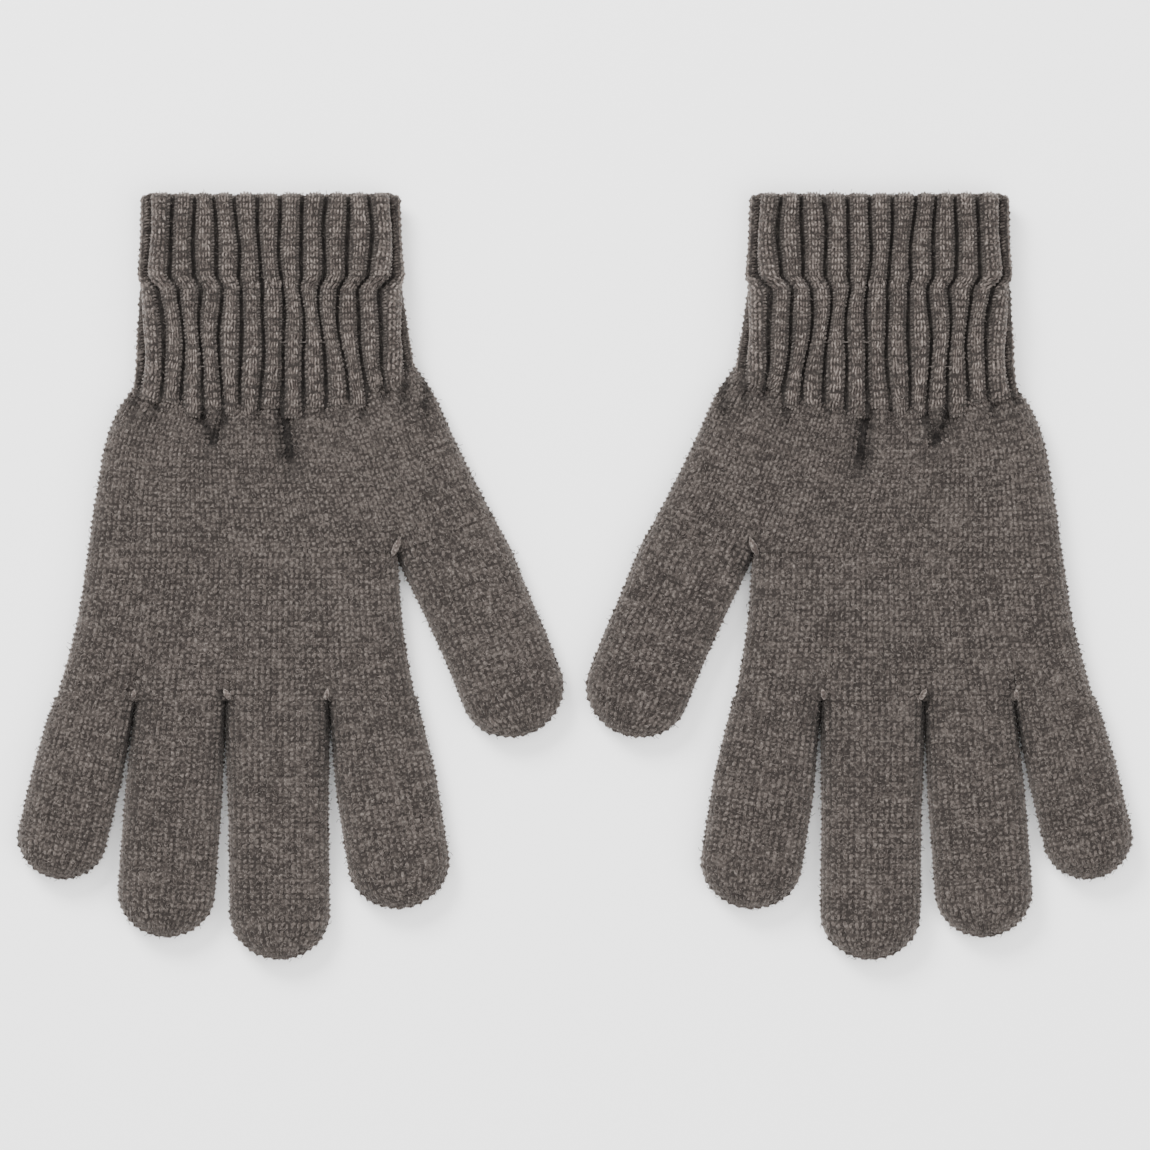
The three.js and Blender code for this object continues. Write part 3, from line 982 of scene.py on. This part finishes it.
def sewForks(glove):
    for fork, end in forkEnds.items():
        node = glove["name"] + "_fork_stitch_" + fork
        low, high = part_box(node)
        middle = inGlove(glove, (np.array(low) + np.array(high)) / 2)
        middle[0] += end["shift"]
        middle[2] = hand["middleHeight"] + hand["halfHeight"] + 0.75
        half = np.array([-math.sin(end["turn"]), math.cos(end["turn"]), 0]) * end["length"] / 2
        tilt = np.array([0, 0, 0.35])
        plies = yarnEnd(middle - half - tilt, middle + half + tilt * 0.4, end["width"], 0.35)
        piece = strandPiece(node + "_yarn", glove, plies, end["width"] * 0.3, sewingYarn)
        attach(piece, glove["name"] + "_hand")
        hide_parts(node)


# The cuff's bare surface at a height, offset outwards: a closed path round the tube.
def cuffPath(height, offset):
    half = cuffHalfWidth(height) - cuff["ribHeight"] - hand["overYarn"]
    thick = cuff["halfHeight"] * (0.9 + 0.1 * float(smooth(height / 11)))
    x, z = ribRow(height, half, thick, offset)
    x = x + cuffMiddle(height)
    return np.stack([x, np.full(len(x), height), cuff["middleHeight"] + z], 1)


# Where each elastic thread comes out over the ribs, and half the length that shows.
elasticThreads = [
    {"shownAt": -8.0, "shownHalf": 7.5},
    {"shownAt": 15.0, "shownHalf": 5.0},
]


def layThreads(glove):
    for number, thread in enumerate(elasticThreads, 1):
        node = glove["name"] + "_elastic_thread_" + str(number)
        low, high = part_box(node)
        height = inGlove(glove, (np.array(low) + np.array(high)) / 2)[1]
        inner = cuffPath(height, 0.0)
        shown = cuffPath(height, cuff["ribHeight"])
        middle = (inner[:, 0:1] - thread["shownAt"]) / thread["shownHalf"]
        out = smooth(2.2 * (1 - np.abs(middle))) * (inner[:, 2:] > cuff["middleHeight"])
        hidden = inner * np.array([1, 1, 0]) + np.array([0, 0, cuff["middleHeight"]])
        hidden[:, 2:] += (inner[:, 2:] - cuff["middleHeight"]) * 0.72
        path = hidden * (1 - out) + (shown * 0.35 + inner * 0.65) * out
        path[:, 2:] += 0.3 * out
        paths = [(path, np.ones(len(path)))]
        piece = strandPiece(node + "_laid", glove, paths, 0.16, elasticYarn, closed=True)
        bendAtWrist(piece)
        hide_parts(node)


tackTicks = [-4.3, -2.6, -1.0, 0.8, 2.5, 4.1]  # across the cuff


def tackFacing(glove):
    node = glove["name"] + "_cuff_tacking_thread"
    height = cuff["hemHeight"] - 0.4
    inner = cuffPath(height, 0.0)
    loop = inner * np.array([0.985, 1, 0]) + np.array([0, 0, cuff["middleHeight"]])
    loop[:, 2:] += (inner[:, 2:] - cuff["middleHeight"]) * 0.72
    paths = [(loop, np.ones(len(loop)))]
    ring = strandPiece(node + "_laid", glove, paths, 0.2, sewingYarn, closed=True)
    ticks = []
    for k, across in enumerate(tackTicks):
        top = cuff["middleHeight"] + cuff["halfHeight"] + cuff["ribHeight"] + 0.7
        low = np.array([across, height - 1.0, top - 0.15])
        high = np.array([across + 0.25 * (-1) ** k, height + 0.8, top])
        ticks += yarnEnd(low, high, 0.5, 0.25)
    seen = strandPiece(node + "_ticks", glove, ticks, 0.17, sewingYarn)
    for piece in (ring, seen):
        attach(piece, glove["name"] + "_cuff")
    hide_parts(node)


def buildGlove(sideName):
    glove = gloveFrame(sideName)
    knuckles = inGlove(glove, joints[sideName + "_index_knuckle_bend"]["pos_m"])[1]
    glove["knuckleY"] = knuckles + fingerStub
    lines = {finger: fingerLine(glove, finger) for finger in fingerWidth}
    roots = [lines[f]["root"][0] for f in ("index", "middle", "ring", "little")]
    glove["crotches"] = [(a + b) / 2 + shift for a, b, shift in zip(roots, roots[1:], (-0.9, 0.85, 0.5))]
    littleEdge = throughKnots(hand["littleSide"], -glove["knuckleY"])
    glove["knuckleThumb"] = 2 * roots[0] - glove["crotches"][0]
    half = fingerWidth["thumb"] / 2
    across = np.array([-lines["thumb"]["along"][1], lines["thumb"]["along"][0]])
    glove["forkPoint"] = lines["thumb"]["root"] + across * (half + 0.6)
    glove["thumbOuter"] = lines["thumb"]["root"] - across * (half - 1.5)
    chordEnds = [glove["knuckleThumb"]] + glove["crotches"] + [littleEdge]
    print("stage: hand", sideName)
    knitHand(glove)
    print("stage: cuff", sideName)
    knitCuff(glove)
    print("stage: threads and yarn ends", sideName)
    sewForks(glove)
    layThreads(glove)
    tackFacing(glove)
    for k, finger in enumerate(("index", "middle", "ring", "little")):
        print("stage: finger", sideName, finger)
        knitFinger(glove, finger, chordEnds[k + 1] - chordEnds[k], 40 + 3 * k)
    knitFinger(glove, "thumb", fingerWidth["thumb"] + 1.2, 60)


for sideName in gloves:
    buildGlove(sideName)


# Floor, light and camera.
studio = {
    "floorTone": 0.95,
    "worldStrength": 1.1,
    "lights": [  # name, place, size and power
        ("key light", (-0.5, 0.75, 0.9), 0.5, 26.0),
        ("fill light", (0.7, -0.3, 1.1), 0.9, 12.0),
        ("top light", (0.0, 0.0, 1.6), 1.2, 22.0),
    ],
    "cameraHeight": 1.5,
    "viewWidth": 0.276,
    "sensorWidth": 36,
}


def makeStage():
    bpy.ops.mesh.primitive_plane_add(size=3)
    floor = bpy.context.object
    floor.name = "floor"
    tone = studio["floorTone"]
    floor.data.materials.append(plainMaterial("pale floor", (tone, tone, tone, 1), 0.9))
    floor.location.z = -0.0002
    for name, place, size, power in studio["lights"]:
        data = bpy.data.lights.new(name, "AREA")
        data.size = size
        data.energy = power
        light = bpy.data.objects.new(name, data)
        light.location = place
        light.rotation_euler = (-Vector(place)).to_track_quat("-Z", "Y").to_euler()
        bpy.context.scene.collection.objects.link(light)
    world = bpy.data.worlds.new("studio")
    world.use_nodes = True
    background = world.node_tree.nodes["Background"]
    background.inputs["Color"].default_value = (1, 1, 1, 1)
    background.inputs["Strength"].default_value = studio["worldStrength"]
    bpy.context.scene.world = world


def makeCamera():
    data = bpy.data.cameras.new("camera")
    data.sensor_width = studio["sensorWidth"]
    distance = studio["cameraHeight"]
    data.lens = studio["sensorWidth"] * distance / studio["viewWidth"]
    camera = bpy.data.objects.new("camera", data)
    camera.location = (0, 0, distance)
    bpy.context.scene.collection.objects.link(camera)
    bpy.context.scene.camera = camera


makeStage()
makeCamera()

print("stage: done")
